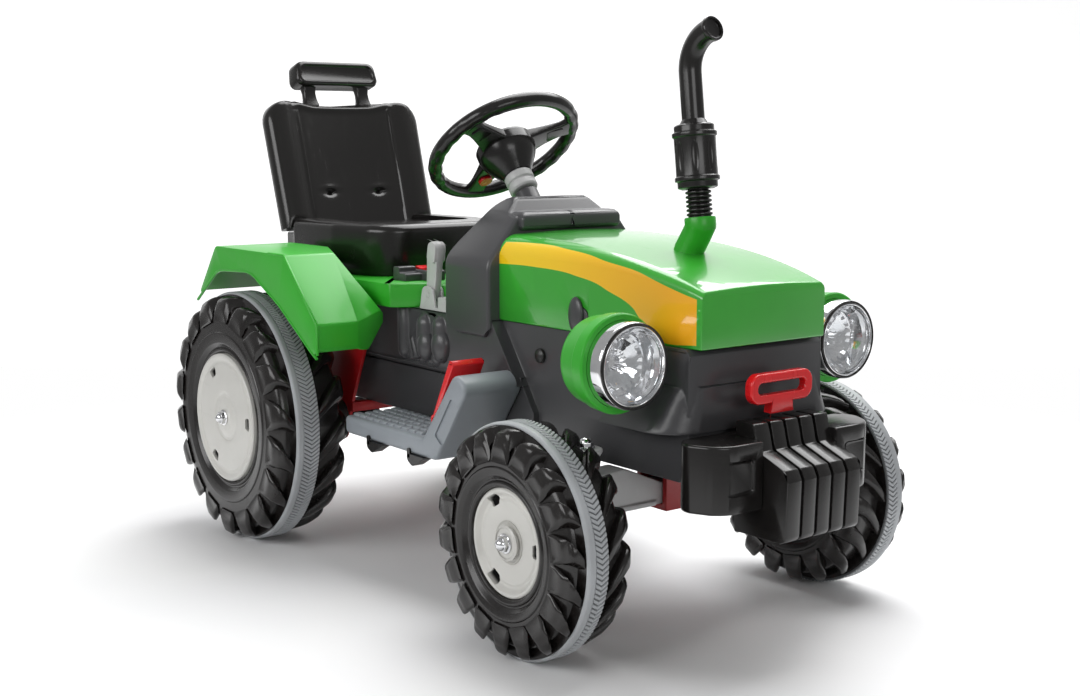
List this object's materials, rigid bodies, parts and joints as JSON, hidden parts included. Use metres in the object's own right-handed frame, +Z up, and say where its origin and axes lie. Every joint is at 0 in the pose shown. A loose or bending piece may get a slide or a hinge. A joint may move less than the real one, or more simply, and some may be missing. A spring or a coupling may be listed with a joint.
{
  "type": "ride-on tractor toy",
  "caption": "Child's battery ride-on tractor with lugged wheels, steered front axle, hard seat, hood, fenders, footrests, headlights and upright exhaust.",
  "frame": {"origin": "on the floor, midway between front and rear end and between both sides", "axes": "+X forward, +Y to the rider's left, +Z up"},
  "size_m": [1.1569, 0.6474, 0.7562],
  "materials": {
    "green_plastic": "glossy blow-moulded plastic",
    "dark_grey_plastic": "satin plastic",
    "black_plastic": "satin plastic",
    "step_grey_plastic": "satin plastic",
    "pale_grey_plastic": "satin plastic",
    "white_plastic": "glossy plastic",
    "tyre_black": "blow-moulded plastic",
    "band_grey": "soft grip band with herringbone",
    "red_plastic": "glossy plastic",
    "red_frame": "moulded plastic",
    "chrome": "bright plating",
    "clear_lens": "clear faceted plastic",
    "steel": "plated steel",
    "case_black": "moulded case"
  },
  "bodies": {
    "chassis": {"chassis_frame": "red_frame", "body_shell": "dark_grey_plastic", "hood": "green_plastic", "dash_console": "dark_grey_plastic", "rear_deck": "green_plastic", "fender_right": "green_plastic", "fender_left": "green_plastic", "seat_base": "black_plastic", "seat_back": "black_plastic", "headrest": "black_plastic", "footrest_right": "step_grey_plastic", "footrest_left": "step_grey_plastic", "footrest_hooks": "black_plastic", "front_bumper": "black_plastic", "front_weights": "black_plastic", "tow_handle": "red_plastic", "front_axle_beam": "pale_grey_plastic", "headlight_bucket_right": "green_plastic", "headlight_bucket_left": "green_plastic", "headlight_reflector_right": "chrome", "headlight_reflector_left": "chrome", "headlight_lens_right": "clear_lens", "headlight_lens_left": "clear_lens", "exhaust_elbow": "green_plastic", "exhaust_bellows": "black_plastic", "exhaust_stack": "black_plastic", "battery": "case_black", "gearmotor_right": "case_black", "gearmotor_left": "case_black", "rear_axle": "steel", "rear_axle_nuts": "chrome", "lever_bracket": "pale_grey_plastic", "switch_base": "dark_grey_plastic", "charge_socket_cap": "white_plastic", "steering_bush": "pale_grey_plastic"},
    "steering": {"steering_wheel": "dark_grey_plastic", "spoke_plates": "pale_grey_plastic", "column_collar": "pale_grey_plastic", "steering_rod": "steel"},
    "horn": {"horn_button": "red_plastic"},
    "knuckle_right": {"knuckle_right": "steel", "front_nuts_right": "chrome"},
    "knuckle_left": {"knuckle_left": "steel", "front_nuts_left": "chrome"},
    "tie_rod": {"tie_rod": "steel"},
    "pedal": {"accelerator_pedal": "red_plastic"},
    "lever": {"gear_lever": "pale_grey_plastic"},
    "switch": {"direction_switch": "red_plastic"},
    "front_wheel_right": {"front_tyre_right": "tyre_black", "front_band_right": "band_grey", "front_hub_right": "white_plastic"},
    "front_wheel_left": {"front_tyre_left": "tyre_black", "front_band_left": "band_grey", "front_hub_left": "white_plastic"},
    "rear_wheel_right": {"rear_tyre_right": "tyre_black", "rear_band_right": "band_grey", "rear_hub_right": "white_plastic"},
    "rear_wheel_left": {"rear_tyre_left": "tyre_black", "rear_band_left": "band_grey", "rear_hub_left": "white_plastic"}
  },
  "joints": [
    {"name": "steering_turn", "type": "hinge", "parent": "chassis", "child": "steering", "pos_m": [-0.0431, 0, 0.5986], "axis": [-0.6239, 0, 0.7815], "range_deg": [-30, 30]},
    {"name": "horn_press", "type": "slide", "parent": "steering", "child": "horn", "axis": [0.6239, 0, -0.7815], "range_m": [0, 0.003], "stiffness_N_per_m": 300, "springref_m": -0.003},
    {"name": "pedal_press", "type": "hinge", "parent": "chassis", "child": "pedal", "pos_m": [0.06636, -0.174, 0.23711], "axis": [0, 1, 0], "range_deg": [0, 9], "stiffness_Nm_per_rad": 2, "springref_deg": -6.88},
    {"name": "lever_shift", "type": "hinge", "parent": "chassis", "child": "lever", "pos_m": [-0.0495, -0.12175, 0.39], "axis": [0, 1, 0], "range_deg": [-12, 12]},
    {"name": "switch_rock", "type": "hinge", "parent": "chassis", "child": "switch", "pos_m": [-0.1295, -0.08, 0.416], "axis": [0, 1, 0], "range_deg": [-10, 10]},
    {"name": "tie_rod_slide", "type": "slide", "parent": "chassis", "child": "tie_rod", "axis": [0, 1, 0], "range_m": [-0.018, 0.018]},
    {"name": "knuckle_right_turn", "type": "hinge", "parent": "chassis", "child": "knuckle_right", "pos_m": [0.3375, -0.158, 0.142], "axis": [0, 0, 1], "range_deg": [-16, 16]},
    {"name": "knuckle_left_turn", "type": "hinge", "parent": "chassis", "child": "knuckle_left", "pos_m": [0.3375, 0.158, 0.142], "axis": [0, 0, 1], "range_deg": [-16, 16]},
    {"name": "front_wheel_right_spin", "type": "hinge", "parent": "knuckle_right", "child": "front_wheel_right", "pos_m": [0.3375, -0.24, 0.142], "axis": [0, 1, 0], "continuous": true},
    {"name": "rear_wheel_right_spin", "type": "hinge", "parent": "chassis", "child": "rear_wheel_right", "pos_m": [-0.3435, -0.254, 0.19], "axis": [0, 1, 0], "continuous": true},
    {"name": "front_wheel_left_spin", "type": "hinge", "parent": "knuckle_left", "child": "front_wheel_left", "pos_m": [0.3375, 0.24, 0.142], "axis": [0, 1, 0], "continuous": true},
    {"name": "rear_wheel_left_spin", "type": "hinge", "parent": "chassis", "child": "rear_wheel_left", "pos_m": [-0.3435, 0.254, 0.19], "axis": [0, 1, 0], "continuous": true}
  ],
  "couplings": [
    {"joint": "knuckle_right_turn", "follows": "steering_turn", "ratio": 0.5},
    {"joint": "knuckle_left_turn", "follows": "steering_turn", "ratio": 0.5},
    {"joint": "tie_rod_slide", "follows": "steering_turn", "m_per_rad": -0.030091}
  ]
}
